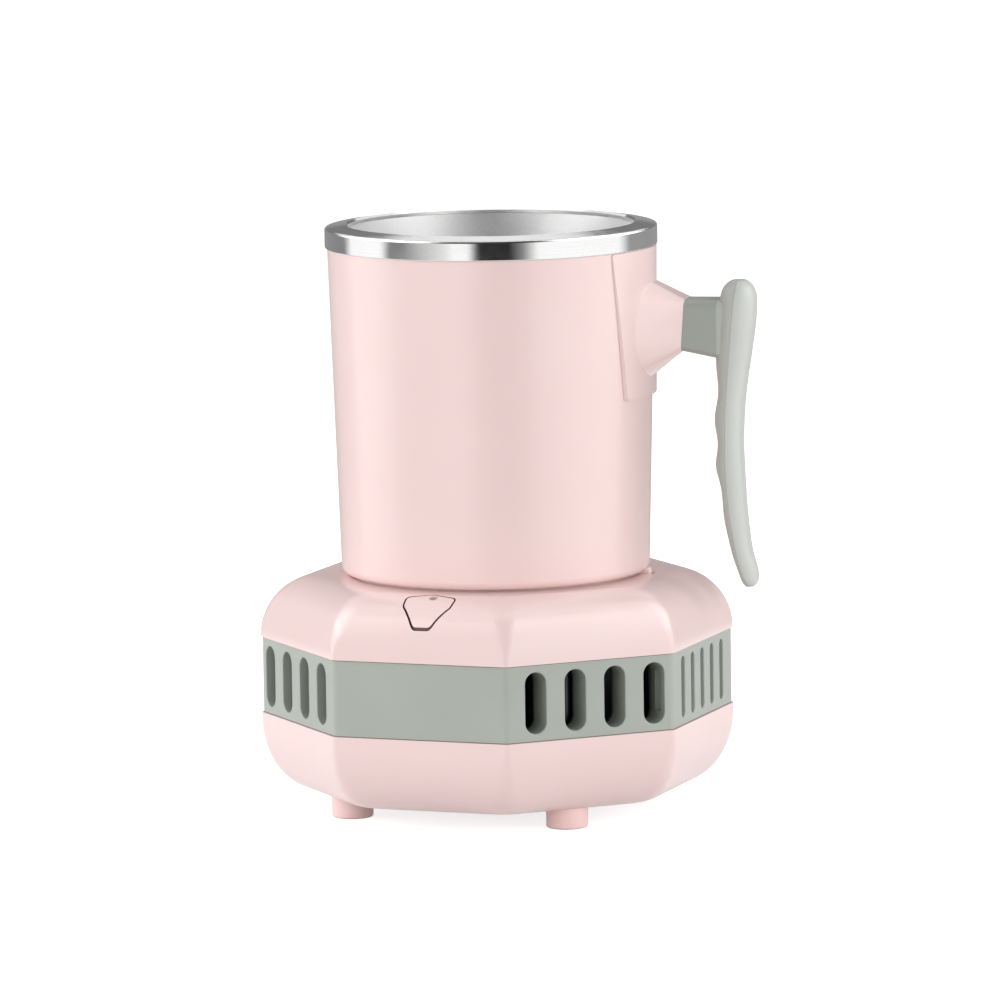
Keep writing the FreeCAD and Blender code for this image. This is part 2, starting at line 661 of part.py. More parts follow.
def fan():
    low = S.underside + S.wall
    frame = block("fan_block", (S.fan_side, S.fan_side, S.fan_height), (0, 0, low))
    bore = cylinder("fan_bore", S.fan_bore, S.fan_height + 2, (0, 0, low - 1))
    holes = [bore]
    top = low + S.fan_height
    for index, (x, y) in enumerate(four_corners(S.fan_screw, S.fan_screw), start=1):
        holes.append(cylinder(f"fan_hole_{index}", S.screw_pass, S.fan_height + 2, (x, y, low - 1)))
        head = cylinder(f"fan_screw_head_{index}", 2.8, 1.8, (x, y, top))
        shank = cylinder(f"fan_screw_shank_{index}", S.screw_shank, S.fan_height + 2.2, (x, y, low - 1.7))
        node(f"fan_screw_{index}", fuse(f"fan_screw_{index}", [head, shank]))
    ring = cut("fan_ring", frame, fuse("fan_openings", holes))
    strut = block("fan_strut", (S.fan_bore * 2 + 1, 3, 1.6), (0, 0, low))
    struts = [swing(f"fan_strut_{angle}", strut, angle) for angle in (45, 135)]
    hub = cylinder("fan_hub_plate", S.hub_radius, 1.6, (0, 0, low))
    tube = cylinder("bearing_tube", 4.2, 10, (0, 0, low))
    bearing_radius = S.shaft_radius + 1.6
    solid = fuse("fan_frame_solid", [ring, hub, tube] + struts)
    seat = cylinder("bearing_seat", bearing_radius + 0.05, 20, (0, 0, low + 0.8))
    node("fan_frame", cut("fan_frame", solid, seat))
    inside = S.shaft_radius + S.shaft_play
    node("fan_bearing", turned("fan_bearing", (
        (inside, low + 1), (bearing_radius, low + 1), (bearing_radius, low + 9.6), (inside, low + 9.6))))
    node("fan_stator", turned("fan_stator", (
        (4.4, low + 2.4), (10.2, low + 2.4), (10.2, low + 8.6), (4.4, low + 8.6))))
    rotor(low)


def rotor(low):
    """Impeller, magnet ring and shaft, which spin together."""
    top = low + S.fan_height - 1
    skirt = low + 2.4
    hub = turned("hub_cup", (
        (0, top), (0, top - 1.6), (S.hub_radius - 1.4, top - 1.6), (S.hub_radius - 1.4, skirt),
        (S.hub_radius, skirt), (S.hub_radius, top)))
    boss = cylinder("shaft_boss", 3.4, 3, (0, 0, top - 3.6))
    plank = DOC.addObject("Part::Box", "blade_plank")
    bind(plank, Length=S.blade_radius - S.hub_radius + 1, Width=S.fan_height, Height=1.3)
    place(plank, (0, -S.fan_height / 2, -0.65))
    blade = DOC.addObject("Part::Compound", "blade")
    blade.Links = [plank]
    place(blade, (S.hub_radius - 1, 0, low + S.fan_height / 2))
    blade.Placement.Rotation = FreeCAD.Rotation(FreeCAD.Vector(1, 0, 0), BLADE_TILT)
    blades = [swing(f"blade_{index}", blade, 360 / BLADES * index) for index in range(BLADES)]
    sweep = turned("blade_sweep", (
        (S.hub_radius - 1, low + 2.6), (S.blade_radius, low + 2.6), (S.blade_radius, top),
        (S.hub_radius - 1, top)))
    trimmed = common("blades_trimmed", [fuse("blades", blades), sweep])
    solid = fuse("impeller_solid", [hub, boss, trimmed])
    hole = cylinder("shaft_hole", S.shaft_radius + 0.01, 20, (0, 0, low - 4.9))
    node("fan_impeller", cut("fan_impeller", solid, hole))
    node("fan_shaft", cylinder("fan_shaft", S.shaft_radius, top - 1.8 - low - 1.4, (0, 0, low + 1.4)))
    outer = S.hub_radius - 1.45
    node("fan_magnet", turned("fan_magnet", (
        (outer - 1.4, skirt + 0.4), (outer, skirt + 0.4), (outer, top - 1.8), (outer - 1.4, top - 1.8))))


def control_board():
    high = S.board_low + S.board_thickness
    board = block("board_blank", (BOARD_LENGTH, 12, S.board_thickness), (0, S.board_mid, S.board_low))
    holes = [cylinder(f"board_hole_{index}", 1.3, 6, (x, S.board_mid, S.board_low - 2))
             for index, x in enumerate(BOARD_SCREWS)]
    node("control_board", cut("control_board", board, fuse("board_holes", holes)))
    for index, x in enumerate(BOARD_SCREWS, start=1):
        head = cylinder(f"board_screw_head_{index}", 2.2, 1.4, (x, S.board_mid, S.board_low - 1.4))
        shank = cylinder(f"board_screw_shank_{index}", 1.0, 7, (x, S.board_mid, S.board_low - 0.5))
        node(f"board_screw_{index}", fuse(f"board_screw_{index}", [head, shank]))
    body = block("switch_body", (6, 6, 3.6), (0, S.board_mid, high))
    socket = cylinder("switch_socket", 1.9, 5, (0, S.board_mid, high + 1))
    node("tact_switch", cut("tact_switch", body, socket))
    plunger_low = high + 1 + S.button_travel + 0.3
    node("switch_plunger", cylinder("switch_plunger", 1.6, 2.2, (0, S.board_mid, plunger_low)))
    lamp_stem = cylinder("lamp_stem", 1.5, 2.4, (9, S.board_mid, high))
    lamp_dome = DOC.addObject("Part::Sphere", "lamp_dome")
    bind(lamp_dome, Radius=1.5)
    place(lamp_dome, (9, S.board_mid, high + 2.4))
    node("status_lamp", fuse("status_lamp", [lamp_stem, lamp_dome]))


def power_button(dome):
    """A flush cap cut from the shoulder's own skin, with a dimple, a stem and tabs that hold it in."""
    shape = button_prism("button_shape", S.button_gap, S.board_low)
    cap = common("button_cap", [dome, shape])
    stem_low = S.board_low + S.board_thickness + 1 + S.button_travel + 0.3 + 2.2
    tabs_low = 73.2
    stem = cylinder("button_stem", 1.6, tabs_low + 3.3 - stem_low, (0, S.board_mid, stem_low))
    rib = block("button_rib", (5, 1.6, 4), (0, S.board_mid + 2, tabs_low + 1))
    tabs = block("button_tabs", (24, 2.2, 1.3), (0, S.board_mid + 2.6, tabs_low))
    web = block("button_web", (3, 5, 3), (0, S.board_mid + 2, tabs_low))
    dimple = cylinder("button_dimple", 1.5, 6, (0.6, S.button_mid + 4, S.seat_top - 1.8))
    solid = fuse("button_solid", [cap, stem, rib, tabs, web])
    node("power_button", cut("power_button", solid, dimple))


def power_inlet():
    face = S.shell_flat - S.band_inset
    flange = cylinder("inlet_flange", 5.6, 1.2, (0, face, S.inlet_up), (0, 1, 0))
    neck = cylinder("inlet_neck", S.inlet_radius, 14, (0, face - 13, S.inlet_up), (0, 1, 0))
    tail = block("inlet_tail", (7.6, 6, 7.6), (0, face - 15, S.inlet_up - 3.8))
    bore = cylinder("inlet_bore", 2.8, 20, (0, face - 9, S.inlet_up), (0, 1, 0))
    pin_rod = cylinder("inlet_pin", 1.0, 9.4, (0, face - 9.4, S.inlet_up), (0, 1, 0))
    socket = cut("inlet_socket", fuse("inlet_body", [flange, neck, tail]), bore)
    node("power_inlet", fuse("power_inlet", [socket, pin_rod]))
    inner = S.shell_flat - S.wall * 1.6
    nut = cylinder("inlet_nut_blank", 5.8, 2.2, (0, inner - 2.3, S.inlet_up), (0, 1, 0))
    hole = cylinder("inlet_nut_hole", S.inlet_radius + 0.05, 6, (0, inner - 4, S.inlet_up), (0, 1, 0))
    node("power_inlet_nut", cut("power_inlet_nut", nut, hole))


def lead(label, route, radius):
    """A round lead along straight runs joined by tangent arcs."""
    spots = [FreeCAD.Vector(*[as_size(number).value for number in spot]) for spot in route]
    edges = []
    here = spots[0]
    for before, corner, after in zip(spots, spots[1:], spots[2:]):
        back = (before - corner).normalize()
        onward = (after - corner).normalize()
        trim = 0.45 * min((before - corner).Length, (after - corner).Length)
        enter = corner + back * trim
        leave = corner + onward * trim
        half = back.getAngle(onward) / 2
        bend = trim * math.tan(half)
        middle_way = (back + onward).normalize()
        middle = corner + middle_way * (trim / math.cos(half) - bend)
        edges.append(Part.LineSegment(here, enter).toShape())
        edges.append(Part.Arc(enter, middle, leave).toShape())
        here = leave
    edges.append(Part.LineSegment(here, spots[-1]).toShape())
    path = Part.Wire(edges)
    profile = Part.Wire([Part.Circle(spots[0], spots[1] - spots[0], radius).toShape()])
    thing = DOC.addObject("Part::Feature", label)
    thing.Shape = path.makePipeShell([profile], True, False)
    node(label, thing)


def leads():
    """Leads from the inlet, the Peltier module and the fan to the control board."""
    tail = S.shell_flat - S.band_inset - 18
    level = S.board_low + S.board_thickness / 2
    end = BOARD_LENGTH / 2
    lead("inlet_lead", (
        (0, tail, S.inlet_up), (0, tail - 7, S.inlet_up), (-6, 46, 56), (-28, 55, 62), (-49, 45, 63),
        (-62, 16, 63), (-62, -16, 63), (-51, -42, 64), (-38, -58, level), (-30, S.board_mid, level),
        (-end, S.board_mid, level)), 1.3)
    lead("module_lead", (
        (20.4, LEAD_EXIT, 59.9), (32, LEAD_EXIT, 59.9), (48, 6, 61), (60, -8, 63), (58, -28, 64),
        (48, -46, level), (38, -58, level), (30, S.board_mid, level), (end, S.board_mid, level)), 1.1)
    fan_front = -S.fan_side / 2
    lead("fan_lead", (
        (10, fan_front, 18), (10, fan_front - 8, 18), (11, -52, 26), (13, -59, 38), (13, -60, 50),
        (13, -60, S.board_low)), 0.9)


def jacket_side(height, offset):
    """The jacket's outer radius at a height, moved outwards by an offset."""
    slope = (S.jacket_top - S.jacket_foot) / (S.rim_low - S.jacket_low)
    return S.jacket_foot + slope * (height - S.jacket_low) + offset


def liner_side(height, offset):
    slope = (S.mouth_radius - S.liner_foot) / (S.liner_top - S.liner_floor)
    return S.liner_foot + slope * (height - S.liner_floor) + offset


def cup():
    low = S.jacket_low
    ledge = low + S.jacket_wall
    top = S.rim_low - 0.1
    collar = S.slug_radius + 2.6
    spigot = S.jacket_spigot
    step = S.jacket_step
    step_inside = step + S.jacket_wall + 1
    jacket = turned("jacket_shell", (
        (collar, low), (spigot, low), (spigot, step), (jacket_side(step, 0), step),
        (jacket_side(top, 0), top), (jacket_side(top, -S.jacket_wall), top),
        (jacket_side(step_inside, -S.jacket_wall), step_inside), (spigot - S.jacket_wall, step_inside),
        (spigot - S.jacket_wall, ledge), (collar, ledge)))
    round_rings(jacket, S.jacket_round, [(jacket_side(step, 0), step)])
    round_rings(jacket, 1.0, [(spigot, low)])
    lug = rounded_lug()
    holes = [cylinder(f"jacket_hole_{index}", 1.7, 12, (46, 0, height), (1, 0, 0))
             for index, height in enumerate(BRACKET_SCREWS)]
    node("cup_jacket", with_mug(cut("cup_jacket", fuse("jacket_and_lug", [jacket, lug]),
                                    fuse("jacket_holes", holes))))
    liner_top = S.liner_top
    floor = S.liner_floor
    base = floor - 3
    node("cup_liner", turned("cup_liner", (
        (0, S.mug_low), (S.slug_radius, S.mug_low), (S.slug_radius, base),
        (liner_side(base, S.liner_wall), base), (liner_side(liner_top, S.liner_wall), liner_top),
        (liner_side(liner_top, 0), liner_top), (liner_side(floor, 0), floor), (0, floor))))
    lip = liner_side(liner_top, S.liner_wall) + 0.1
    mouth = S.mouth_radius
    shoulder = S.rim_crest - 1.1
    rim = turned("rim_ring", (
        (lip, S.rim_low), (S.rim_radius, S.rim_low), (S.rim_radius, shoulder), (mouth + 0.7, S.rim_crest),
        (mouth, S.rim_crest - 0.7), (mouth, liner_top + 0.1), (lip, liner_top + 0.1)))
    round_rings(rim, 0.8, [(S.rim_radius, shoulder)])
    round_rings(rim, 0.25, [(S.rim_radius, S.rim_low)])
    node("rim_ring", rim)
    gap = S.fit_gap
    foam_low = step_inside + gap
    foam_top = top - gap
    foam = turned("foam_sleeve", (
        (liner_side(foam_low, S.liner_wall + gap), foam_low),
        (jacket_side(foam_low, -S.jacket_wall - gap), foam_low),
        (jacket_side(foam_top, -S.jacket_wall - gap), foam_top),
        (liner_side(foam_top, S.liner_wall + gap), foam_top)))
    pockets = [cylinder(f"foam_pocket_{index}", 4.2, 14, (44, 0, height), (1, 0, 0))
               for index, height in enumerate(BRACKET_SCREWS)]
    node("cup_insulation", with_mug(cut("cup_insulation", foam, fuse("foam_pockets", pockets))))
    node("cup_base_seal", turned("cup_base_seal", (
        (S.slug_radius + 0.1, low + 0.2), (collar - 0.1, low + 0.2), (collar - 0.1, ledge),
        (S.slug_radius + 0.1, ledge))))


def rounded_lug():
    """The lug under the handle, its outer edges rounded."""
    root = S.jacket_spigot - 0.6
    sides = (S.lug_reach - root, S.lug_width, S.lug_high - S.lug_low)
    plain = block("lug_blank", sides, ((S.lug_reach + root) / 2, 0, S.lug_low))
    DOC.recompute()
    lug = DOC.addObject("Part::Fillet", "lug")
    lug.Base = plain
    lug.Edges = [(number, 1.0, 1.0) for number, edge in enumerate(plain.Shape.Edges, start=1)
                 if edge.CenterOfMass.x > root.value + 1 and edge.CenterOfMass.z > S.lug_low.value + 1]
    return lug


def boss_section(distance, middle, tilt, height, width, radius):
    """A rounded rectangle across the handle's direction, leaning so that its top stands further out."""
    half_high = height / 2 - radius
    half_wide = width / 2 - radius
    arcs = []
    corners = ((half_wide, half_high, 0), (-half_wide, half_high, 90),
               (-half_wide, -half_high, 180), (half_wide, -half_high, 270))
    points = []
    for y, z, start in corners:
        trio = []
        for angle in (start, start + 45, start + 90):
            way = math.radians(angle)
            trio.append((y + radius * math.cos(way), z + radius * math.sin(way)))
        points.append([FreeCAD.Vector(distance + tilt * rise, across, middle + rise)
                       for across, rise in trio])
    for index, trio in enumerate(points):
        arcs.append(Part.Arc(*trio).toShape())
        arcs.append(Part.LineSegment(trio[2], points[(index + 1) % 4][0]).toShape())
    return Part.Wire(arcs)


def handle_bracket():
    """The raised panel on the jacket and the boss that narrows out of it to the stub."""
    low = S.panel_low - 4
    high = S.panel_high + 2
    skin = turned("panel_skin", (
        (jacket_side(low, 0.1), low), (jacket_side(low, S.panel_proud), low),
        (jacket_side(high, S.panel_proud - 1), high), (jacket_side(high, 0.1), high)))
    sketch = free_sketch("panel_outline")
    sketch.Placement.Rotation = FreeCAD.Rotation(FreeCAD.Vector(1, 1, 1), 120)
    corner = S.panel_corner
    draw_rounded(sketch, (
        (S.panel_wide - corner, S.panel_high - corner), (corner - S.panel_wide, S.panel_high - corner),
        (corner - S.panel_slim, S.panel_low + corner), (S.panel_slim - corner, S.panel_low + corner)), corner)
    panel = common("panel", [skin, prism("panel_prism", sketch, (1, 0, 0), 80)])
    boss = DOC.addObject("Part::Feature", "boss_solid")
    root = boss_section(50, S.boss_mid.value - 1.7, 0, 39.8, 42, 19.8)
    end = boss_section(67, S.boss_mid.value + 0.5, 0.07, 17.75, 17, 3.4)
    boss.Shape = Part.makeLoft([root, end], True, True)
    core = turned("jacket_core_cone", (
        (0, low - 40), (jacket_side(low - 40, 0.1), low - 40), (jacket_side(high, 0.1), high), (0, high)))
    room = S.tongue_side + S.fit_gap
    socket = block("boss_socket", (20, room, room), (68, 0, S.boss_mid - room / 2))
    holes = [core, socket,
             cylinder("handle_screw_well", 4.4, 6, (52, 0, S.boss_mid), (1, 0, 0)),
             cylinder("handle_screw_hole", 2.2, 20, (50, 0, S.boss_mid), (1, 0, 0))]
    for index, height in enumerate(BRACKET_SCREWS):
        holes.append(cylinder(f"bracket_pilot_{index}", S.screw_pilot, 12, (48, 0, height), (1, 0, 0)))
    solid = fuse("panel_and_boss", [panel, boss])
    node("handle_bracket", with_mug(cut("handle_bracket", solid, fuse("bracket_holes", holes))))
    for index, height in enumerate(BRACKET_SCREWS, start=1):
        seat = jacket_side(height, -S.jacket_wall).value - 0.4
        head = cylinder(f"bracket_screw_head_{index}", 3.0, 1.8, (seat - 1.8, 0, height), (1, 0, 0))
        shank = cylinder(f"bracket_screw_shank_{index}", S.screw_shank, 8, (seat - 1, 0, height), (1, 0, 0))
        node(f"bracket_screw_{index}", with_mug(fuse(f"bracket_screw_{index}", [head, shank])))
    return boss


def grip_section(height, seam, edge, half_width):
    """A D shape across the grip: straight along the seam, with round corners towards the edge."""
    depth = abs(edge - seam)
    side = math.copysign(1, edge - seam)
    bend = depth * (1 - math.sqrt(0.5))
    near = half_width - depth
    points = [FreeCAD.Vector(x, y, height) for x, y in (
        (seam, -half_width), (seam, half_width), (edge - side * bend, half_width - bend), (edge, near),
        (edge, -near), (edge - side * bend, bend - half_width))]
    return Part.Wire([
        Part.LineSegment(points[0], points[1]).toShape(),
        Part.Arc(points[1], points[2], points[3]).toShape(),
        Part.LineSegment(points[3], points[4]).toShape(),
        Part.Arc(points[4], points[5], points[0]).toShape(),
    ])


def stub_section(distance, height):
    """A section of the stub, which deepens downwards on its way to the grip."""
    return boss_section(distance, S.stub_top.value - height / 2, 0, height, S.stub_width.value, 3)


def handle(boss):
    outer = DOC.addObject("Part::Feature", "handle_outer_half")
    sections = [grip_section(z, seam, edge, half) for z, _, seam, edge, half in GRIP]
    outer.Shape = Part.makeLoft(sections, True)
    node("handle_outer_half", with_mug(outer))
    inner = DOC.addObject("Part::Feature", "grip_inner")
    gap = S.seam_gap.value
    sections = [grip_section(z, seam - gap, edge, half) for z, edge, seam, _, half in GRIP]
    inner.Shape = Part.makeLoft(sections, True)
    stub = DOC.addObject("Part::Feature", "stub_blank")
    stub.Shape = Part.makeLoft([stub_section(60, 16.1), stub_section(81, 20.3)], True, True)
    trimmed = cut("stub_trimmed", stub, boss)
    side = S.tongue_side
    tongue = block("stub_tongue", (18, side, side), (69, 0, S.boss_mid - side / 2))
    solid = fuse("grip_with_stub", [inner, trimmed, tongue])
    pilot = cylinder("stub_pilot", 2.05, 18, (58, 0, S.boss_mid), (1, 0, 0))
    node("handle_inner_half", with_mug(cut("handle_inner_half", solid, pilot)))
    head = cylinder("handle_screw_head", 3.8, 2.2, (55.6, 0, S.boss_mid), (1, 0, 0))
    shank = cylinder("handle_screw_shank", 2.0, 17, (57, 0, S.boss_mid), (1, 0, 0))
    node("handle_screw", with_mug(fuse("handle_screw", [head, shank])))


def check_and_write():
    DOC.recompute()
    for thing in DOC.Objects:
        if "Invalid" in thing.State or "Error" in thing.State:
            raise RuntimeError(f"{thing.Name} failed: {thing.State}")
    for label, thing in NODES.items():
        if thing.Shape.isNull() or not thing.Shape.isValid() or thing.Shape.Volume <= 0:
            raise RuntimeError(f"{label} has no valid solid")
    os.makedirs("parts", exist_ok=True)
    for label, thing in NODES.items():
        thing.Shape.exportStep(f"parts/{label}.step")
        print(f"{label}: {thing.Shape.Volume:.0f} mm3, {len(thing.Shape.Solids)} solid(s)")


def main():
    keel = bottom_shell()
    feet(keel)
    vent_band()
    dome = top_shell()
    cooling_stack()
    fan()
    control_board()
    power_button(dome)
    power_inlet()
    leads()
    cup()
    boss = handle_bracket()
    handle(boss)
    check_and_write()


main()
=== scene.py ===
import math

import bpy
from mathutils import Matrix, Vector

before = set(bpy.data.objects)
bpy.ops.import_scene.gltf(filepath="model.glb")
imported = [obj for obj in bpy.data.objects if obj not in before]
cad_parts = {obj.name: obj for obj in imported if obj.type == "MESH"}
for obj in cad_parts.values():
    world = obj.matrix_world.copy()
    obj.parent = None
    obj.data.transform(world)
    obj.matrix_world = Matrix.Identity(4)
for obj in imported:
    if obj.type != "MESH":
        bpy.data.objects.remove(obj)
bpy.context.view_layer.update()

# The cooling cup's finishes, its studio and its camera. Metres, in the frame of the CAD model.

# The mug's floor: up to the first height it has all its turning marks, and at the second none.
MUG_FLOOR = 0.0842
MUG_WALL = 0.0846

# The inside of the base, where the screw pillars stand and black is painted on them as shade.
CASE_FLOOR = 0.0100
CASE_CEILING = 0.0722
CASE_CORE = 0.0600

# The vent band: its two joints and the width of the painted shade along them, how far its faces are
# from the upright axis, and how deep behind a face the painted shade in the slots turns grey and
# then dark.
BAND_LOW = 0.0333
BAND_HIGH = 0.0594
BAND_SHADE_WIDTH = 0.0003
BAND_FACE = 0.0744
SLOT_SHADE_GREY = (0.002, 0.008)
SLOT_SHADE_DARK = (0.009, 0.011)

# The power button: half its width, its back and front edges, how steep the walls of the gap round it
# are, and its dimple, which takes less of the painted shade than that gap.
BUTTON_HALF = 0.0120
BUTTON_BACK = -0.0550
BUTTON_FRONT = -0.0735
GAP_STEEPNESS = 0.8
DIMPLE_X = 0.0006
DIMPLE_Y = -0.06165
DIMPLE_RADIUS = 0.0018
DIMPLE_LESS_SHADE = 0.7

# The stub between mug and grip: where it meets the grip, how soon the painted shade on it begins
# there, and its lowest and highest point.
GRIP_REACH = 0.0793
STUB_EDGE = 0.0004
STUB_LOW = 0.1542
STUB_HIGH = 0.1750

# The scuffs on the feet: how high they are dense, how high they go and how ragged they are.
SCUFF_DENSE = 0.0004
SCUFF_TOP = 0.0012
SCUFF_RAGGED = 0.0008

# The middle of the power inlet and the radius of its pin.
INLET_HEIGHT = 0.0463
INLET_PIN = 0.0012

# The camera: where it stands, what it looks at, how far it leans, its lens and sensor in
# millimetres, and how far it sees.
CAMERA_AT = Vector((0.96034, -2.55787, 0.47080))
CAMERA_LOOKS_AT = Vector((0.001782, 0.000669, 0.104671))
CAMERA_LEAN = -0.01522
CAMERA_LENS = 289.86
CAMERA_SENSOR = 36.0
CAMERA_SEES = 100.0


def linear(level):
    """A screen number, 0 to 255, as the linear value that a shader takes."""
    level /= 255
    return ((level + 0.055) / 1.055) ** 2.4 if level > 0.04 else level / 12.92


def paint(red, green, blue):
    """A colour by its screen numbers."""
    return (linear(red), linear(green), linear(blue), 1)


def shaded(colour, factor):
    """The same colour, darker or lighter."""
    return (*[level * factor for level in colour[:3]], 1)


class Reading:
    """A value on its way to a shader. Arithmetic on it adds Math nodes."""

    def __init__(self, finish, socket):
        self.finish = finish
        self.socket = socket

    def work(self, operation, *values):
        return self.finish.node("ShaderNodeMath", {"operation": operation}, dict(enumerate(values)))

    def __add__(self, other):
        return self.work("ADD", self, other)

    def __radd__(self, other):
        return self.work("ADD", other, self)

    def __sub__(self, other):
        return self.work("SUBTRACT", self, other)

    def __rsub__(self, other):
        return self.work("SUBTRACT", other, self)

    def __mul__(self, other):
        return self.work("MULTIPLY", self, other)

    def __rmul__(self, other):
        return self.work("MULTIPLY", other, self)

    def __truediv__(self, other):
        return self.work("DIVIDE", self, other)

    def __rtruediv__(self, other):
        return self.work("DIVIDE", other, self)

    def __pow__(self, other):
        return self.work("POWER", self, other)

    def __gt__(self, other):
        return self.work("GREATER_THAN", self, other)

    def __lt__(self, other):
        return self.work("LESS_THAN", self, other)

    def __abs__(self):
        return self.work("ABSOLUTE", self)

    def larger(self, other):
        return self.work("MAXIMUM", self, other)

    def smaller(self, other):
        return self.work("MINIMUM", self, other)


def within(value, low, high):
    """1 between the two limits and 0 outside them."""
    return (value > low) * (value < high)


def distance(aside, ahead):
    """How far a point is from a line, by its two offsets from that line."""
    return (aside * aside + ahead * ahead) ** 0.5


class Finish:
    """The nodes of one material, or of the world."""

    def __init__(self, tree):
        self.tree = tree

    def node(self, kind, settings=None, sockets=None, out=0):
        """Add a node: its settings first, then values or links for its sockets. Gives one output."""
        made = self.tree.nodes.new(kind)
        for name, value in (settings or {}).items():
            if name == "stops":
                self.set_stops(made.color_ramp, value)
            else:
                setattr(made, name, value)
        self.fill(made, sockets or {})
        return Reading(self, made.outputs[out])

    def fill(self, made, sockets):
        for key, value in sockets.items():
            if isinstance(value, Reading):
                self.tree.links.new(value.socket, made.inputs[key])
            else:
                made.inputs[key].default_value = value

    def set_stops(self, ramp, stops):
        while len(ramp.elements) < len(stops):
            ramp.elements.new(1.0)
        for element, (position, level) in zip(ramp.elements, stops):
            element.position = position
            element.color = (level, level, level, 1)

    def surface(self, sockets):
        """Set the sockets of the material's own shader."""
        self.fill(self.tree.nodes["Principled BSDF"], sockets)

    def spot(self):
        return self.node("ShaderNodeTexCoord", out="Object")

    def axis(self, letter):
        return self.node("ShaderNodeSeparateXYZ", None, {0: self.spot()}, letter)

    def reach(self):
        """The distance from the upright axis of the cup."""
        return distance(self.axis("X"), self.axis("Y"))

    def octagon_reach(self):
        """The distance from the upright axis to the face of an octagon through the point."""
        x = self.axis("X")
        y = self.axis("Y")
        square = abs(x).larger(abs(y))
        diamond = abs(x + y).larger(abs(x - y)) * math.sqrt(0.5)
        return square.larger(diamond)

    def stretched(self, factors):
        sockets = {0: self.spot(), 1: factors}
        return self.node("ShaderNodeVectorMath", {"operation": "MULTIPLY"}, sockets)

    def noise(self, grain, detail, where=None):
        """Noise from 0 to 1 whose grains are about this many metres across."""
        sockets = {"Vector": where or self.spot(), "Scale": 1 / grain, "Detail": detail}
        return self.node("ShaderNodeTexNoise", None, sockets)

    def rings(self, width):
        """Fine lines round the upright axis, as a lathe leaves them."""
        line = self.node("ShaderNodeCombineXYZ", None, {0: self.reach(), 1: self.axis("Z")})
        return self.noise(width, 3.0, line)

    def turns(self, scale, waver):
        """Bands one above the other, such as a thread or a winding."""
        sockets = {"Vector": self.spot(), "Scale": scale, "Distortion": waver}
        return self.node("ShaderNodeTexWave", {"bands_direction": "Z"}, sockets, "Fac")

    def steepness(self):
        """0 on a level surface and 1 on an upright wall."""
        facing = self.node("ShaderNodeNewGeometry", out="True Normal")
        return 1 - abs(self.node("ShaderNodeSeparateXYZ", None, {0: facing}, "Z"))

    def ramp(self, value, none, full):
        """0 up to the first limit, 1 from the second on and even between them, in either order."""
        limits = {"Value": value, "From Min": none, "From Max": full}
        return self.node("ShaderNodeMapRange", {"clamp": True}, limits)

    def blend(self, share, first, second):
        """A mix of two colours: the first at a share of 0 and the second at 1."""
        sockets = {0: share, 6: first, 7: second}
        return self.node("ShaderNodeMix", {"data_type": "RGBA"}, sockets, 2)

    def relief(self, height, depth, over=None):
        sockets = {"Height": height, "Distance": depth, "Strength": 1.0}
        if over is not None:
            sockets["Normal"] = over
        return self.node("ShaderNodeBump", None, sockets)


def new_finish(name):
    material = bpy.data.materials.new(name)
    material.use_nodes = True
    return Finish(material.node_tree), material


def glossy_blush(name, roughness, inside=None):
    """Glossy moulded plastic: cloudy blush colour, a fine skin, faint flow lines and handling.

    With a colour for the painted shade inside the case it is the base's plastic, which also has
    painted shade in the gap round the button.
    """
    finish, material = new_finish(name)
    cloud = finish.ramp(finish.noise(0.035, 3.0), 0.3, 0.7)
    flow = finish.noise(0.012, 1.0, finish.stretched((1, 1, 0.16)))
    handled = finish.ramp(finish.noise(0.03, 1.0), 0.3, 0.8)
    skin = finish.noise(0.0006, 3.0)
    waves = finish.relief(flow, 0.000004)
    colour = finish.blend(0.75 * cloud + 0.25 * skin, paint(242, 216, 213), paint(240, 212, 209))
    if inside is not None:
        # Painted shade: dark brown on the walls of the gap round the button.
        colour = finish.blend(painted_gap_shade(finish), colour, paint(96, 62, 58))
        # Painted shade: black on the screw pillars inside the case.
        colour = finish.blend(painted_case_shade(finish), colour, inside)
    finish.surface({
        "Base Color": colour,
        "Roughness": roughness + 0.008 * (handled - 0.5),
        "Normal": finish.relief(skin, 0.000001, waves),
        "IOR": 1.58,
        "Coat Weight": 0.5,
        "Coat Roughness": 0.18,
    })
    return material


def painted_case_shade(finish):
    """1 on the screw pillars in the base, where black is painted as shade so that they don't show
    through the vents.
    """
    return (finish.reach() < CASE_CORE) * within(finish.axis("Z"), CASE_FLOOR, CASE_CEILING)


def painted_gap_shade(finish):
    """1 on the upright walls of the gap round the power button, where shade is painted, and less in
    its dimple.
    """
    across = finish.axis("X")
    front = finish.axis("Y")
    beside = (abs(across) < BUTTON_HALF) * within(front, BUTTON_FRONT, BUTTON_BACK)
    walls = beside * (finish.steepness() > GAP_STEEPNESS)
    dimple = distance(across - DIMPLE_X, front - DIMPLE_Y) < DIMPLE_RADIUS
    return walls * (1 - DIMPLE_LESS_SHADE * dimple)


def matt_skin(finish):
    """The fine skin of the grey mouldings and, drawn from it, how their colour drifts."""
    skin = finish.noise(0.0004, 3.0)
    cloud = finish.ramp(finish.noise(0.03, 3.0), 0.3, 0.7)
    return skin, 0.7 * cloud + 0.3 * skin


